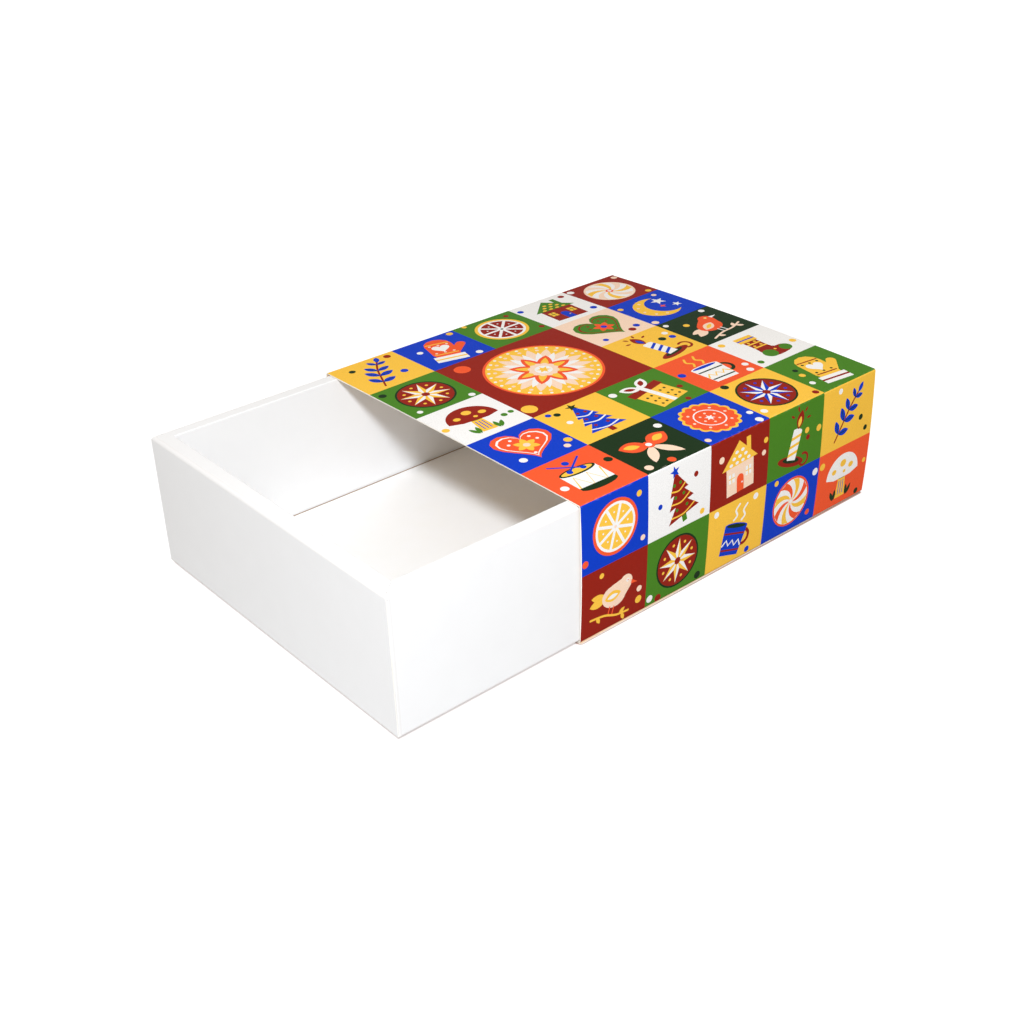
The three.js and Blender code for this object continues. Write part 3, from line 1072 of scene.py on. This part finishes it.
def build_wall(name, origin, across, end_wall):
    """One hollow wall on the tray's outline, with across pointing into the tray."""
    if end_wall:
        length, depth, other = tray_width, END_DEPTH, SIDE_DEPTH
    else:
        length, depth, other = tray_length, SIDE_DEPTH, END_DEPTH
    up = np.array([0.0, 0.0, 1.0])
    along = np.cross(up, across)
    fold = wall_fold(depth)
    half = length / 2
    creases_v = []
    # The base and tuck flap marks are painted shade; the rim marks are rubbing.
    mark_amount, creases_u = fold_marks([(fold.middle(k), *amount) for k, amount in enumerate(WALL_WEAR_AND_SHADE)])
    corner_tint = None
    if end_wall:
        outline = wall_outline(fold, half, depth, other, half - other - PANEL_GAP)
        bend = folded_bend(fold, origin, across, up, along)
    else:
        turn = half - BOARD - GLUE_LINE
        round_corner = (turn - BOARD / 2, BOARD / 2, CORNER_FOLD - BOARD / 2)
        corner = Fold([(0, BOARD / 2), round_corner, (turn - BOARD / 2, CORNER_FLAP)])
        outline = wall_outline(fold, half, depth, other, half - other + BOARD, corner.length)
        bend = corner_bend(fold, corner, origin, across, up, along)
        # A faint brown tint along the upright corner folds.
        corner_tint, lines = fold_marks([(corner.middle(0), *CORNER_TINT)])
        creases_u = creases_u + grid_lines(fold.folds[0][1], fold.folds[1][0])[1:-1]
        creases_v = [s * side for s in corner.samples(*corner.folds[0]) + lines for side in (1, -1)]
    creases_u = creases_u + fold.samples()
    creases_v += grid_lines(-half, half)

    def mask(flat):
        amount = mark_amount(flat[:, 0])
        return amount if corner_tint is None else np.maximum(amount, corner_tint(np.abs(flat[:, 1])))

    materials = (tray_face, tray_edge, tray_reverse)
    return board(name, outline, flared(bend), materials, creases_u, creases_v, fold_mask=mask)


tray_floor = tray_low.z
for node, x, y, across, end_wall in (
    ("tray_front_wall", 0, tray_low.y, (0.0, 1.0, 0.0), True),
    ("tray_back_wall", 0, back_high.y, (0.0, -1.0, 0.0), True),
    ("tray_left_wall", -tray_width / 2, tray_middle, (1.0, 0.0, 0.0), False),
    ("tray_right_wall", tray_width / 2, tray_middle, (-1.0, 0.0, 0.0), False),
):
    wall = build_wall("folded_" + node, np.array([x, y, tray_floor]), np.array(across), end_wall)
    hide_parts(node)
    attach(wall, "tray")


def flat_board(name, node, materials, inset=0.0):
    """A flat board in the place of a CAD plate, face up."""
    plate_low, plate_high = lowest_highest(node)
    plate_low += Vector((inset, inset, 0))
    plate_high -= Vector((inset, inset, 0))
    size = plate_high - plate_low
    middle = (plate_high.z + plate_low.z) / 2

    def bend(flat):
        height = np.full(len(flat), middle)
        centre = np.stack([plate_low.x + flat[:, 0], plate_low.y + flat[:, 1], height], 1)
        return centre, np.tile([0.0, 0.0, 1.0], (len(flat), 1))

    outline = bar(0, 0, size.x, size.y)
    piece = board(name, outline, flared(bend), materials, grid_lines(0, size.x), grid_lines(0, size.y))
    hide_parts(node)
    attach(piece, "tray")
    return piece


card = flat_board("card_floor", "floor_card", (card_face, tray_edge, card_face), CARD_INSET)
base = flat_board("folded_tray_base", "tray_base", (tray_reverse, tray_edge, tray_face))

# Glue films keep their CAD shape

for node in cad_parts:
    if "glue" in node:
        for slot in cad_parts[node].material_slots:
            slot.material = glue_film

# Camera, as the photograph's corners give it. Its place is in millimetres, its clip distances in metres.

CAMERA_AT = (368.03, -316.31, 285.68)
CAMERA_RIGHT = (0.65318, 0.75681, -0.02456)
CAMERA_UP = (-0.36353, 0.34188, 0.86658)
SENSOR = 36.0
FOCAL_PIXELS = 1380.8
IMAGE_PIXELS = 1024.0
NEAR_CLIP = 0.01
FAR_CLIP = 50.0

right_way = Vector(CAMERA_RIGHT).normalized()
back_way = right_way.cross(Vector(CAMERA_UP)).normalized()
up_way = back_way.cross(right_way)
camera_data = bpy.data.cameras.new("camera")
camera_data.sensor_width = SENSOR
camera_data.lens = SENSOR * FOCAL_PIXELS / IMAGE_PIXELS
camera_data.clip_start = NEAR_CLIP
camera_data.clip_end = FAR_CLIP
camera = bpy.data.objects.new("camera", camera_data)
camera_turn = Matrix((right_way, up_way, back_way)).transposed().to_4x4()
camera.matrix_world = Matrix.Translation(Vector(CAMERA_AT) * MM) @ camera_turn
bpy.context.scene.collection.objects.link(camera)
bpy.context.scene.camera = camera

# Light: one softbox high at the front right, and a pale room, in metres and watts

KEY_WAY = Vector((0.76, -0.66, 0.95))
KEY_DISTANCE = 0.78
KEY_SIZE = 0.088
KEY_WATTS = 5.22
KEY_TINT = (1.0, 1.05, 1.12)
ROOM_LEVEL = 0.43
ROOM_TINT = (1.0, 0.89, 0.755, 1.0)
AIM = Vector((0.0, -0.02, 0.03))

key_data = bpy.data.lights.new("key_softbox", "AREA")
key_data.shape = "SQUARE"
key_data.size = KEY_SIZE
key_data.energy = KEY_WATTS
key_data.color = KEY_TINT
key = bpy.data.objects.new("key_softbox", key_data)
key.location = AIM + KEY_WAY.normalized() * KEY_DISTANCE
key.rotation_euler = KEY_WAY.to_track_quat("Z", "Y").to_euler()
bpy.context.scene.collection.objects.link(key)


def seen_directly(nodes, links):
    """1 for what the camera sees itself, or in a gloss or through glass."""
    path = nodes.new("ShaderNodeLightPath")
    total = path.outputs["Is Camera Ray"]
    for name in ("Is Glossy Ray", "Is Transmission Ray"):
        total = combined(nodes, links, "ADD", total, path.outputs[name])
    return total


world = bpy.data.worlds.new("room")
bpy.context.scene.world = world
world.use_nodes = True
nodes = world.node_tree.nodes
links = world.node_tree.links
nodes.clear()
lit = nodes.new("ShaderNodeBackground")
lit.inputs["Strength"].default_value = ROOM_LEVEL
lit.inputs["Color"].default_value = ROOM_TINT
seen = nodes.new("ShaderNodeBackground")
seen.inputs["Color"].default_value = WHITE
choose = nodes.new("ShaderNodeMixShader")
output = nodes.new("ShaderNodeOutputWorld")
links.new(seen_directly(nodes, links), choose.inputs["Fac"])
links.new(lit.outputs["Background"], choose.inputs[1])
links.new(seen.outputs["Background"], choose.inputs[2])
links.new(choose.outputs["Shader"], output.inputs["Surface"])

# Floor, in metres: white in the light, darker in the box's shadow, and a painted dark brown shade in the
# gap at the box's foot, where ambient occlusion turns its colour and glow to that tone

FLOOR_SIZE = 12.0
FLOOR_GAP = 0.00002
FLOOR_TONE = (0.48, 0.48, 0.48, 1.0)
FLOOR_ROUGHNESS = 0.9
NEAR_RADIUS = 0.2
FAR_RADIUS = 0.6
NEAR_LIFT = 0.75
FAR_LIFT = 1.0
FOOT_REACH = 0.00132
FOOT_OPEN_SHARES = (0.5, 0.95)
# Colour of the painted contact shade in the gap at the box's foot.
FOOT_SHADE = (0.22, 0.12, 0.09, 1.0)

floor_material, nodes, links, shader = new_material("table")
shader.inputs["Roughness"].default_value = FLOOR_ROUGHNESS
# Painted contact shade: near the box's foot, ambient occlusion mixes the floor's colour and glow towards a
# dark brown.
cover = nodes.new("ShaderNodeAmbientOcclusion")
cover.inputs["Distance"].default_value = FOOT_REACH
uncovered = ranged(nodes, links, cover.outputs["AO"], *FOOT_OPEN_SHARES, 0.0, 1.0)
links.new(mixed(nodes, links, "MIX", uncovered, FOOT_SHADE, WHITE), shader.inputs["Emission Color"])
links.new(mixed(nodes, links, "MIX", uncovered, FOOT_SHADE, FLOOR_TONE), shader.inputs["Base Color"])
place = nodes.new("ShaderNodeTexCoord")
away = nodes.new("ShaderNodeVectorMath")
away.operation = "LENGTH"
links.new(place.outputs["Object"], away.inputs[0])
glow = ranged(nodes, links, away.outputs["Value"], NEAR_RADIUS, FAR_RADIUS, NEAR_LIFT, FAR_LIFT)
lift = combined(nodes, links, "MULTIPLY", seen_directly(nodes, links), glow)
links.new(lift, shader.inputs["Emission Strength"])

half_floor = FLOOR_SIZE / 2
floor_corners = [(x, y, 0.0) for x, y in bar(-half_floor, -half_floor, half_floor, half_floor)]
floor_mesh = bpy.data.meshes.new("table")
floor_mesh.from_pydata(floor_corners, [], [(0, 1, 2, 3)])
floor_mesh.materials.append(floor_material)
floor = bpy.data.objects.new("table", floor_mesh)
floor.location.z = -FLOOR_GAP
bpy.context.scene.collection.objects.link(floor)

bpy.context.scene.view_settings.view_transform = "Standard"
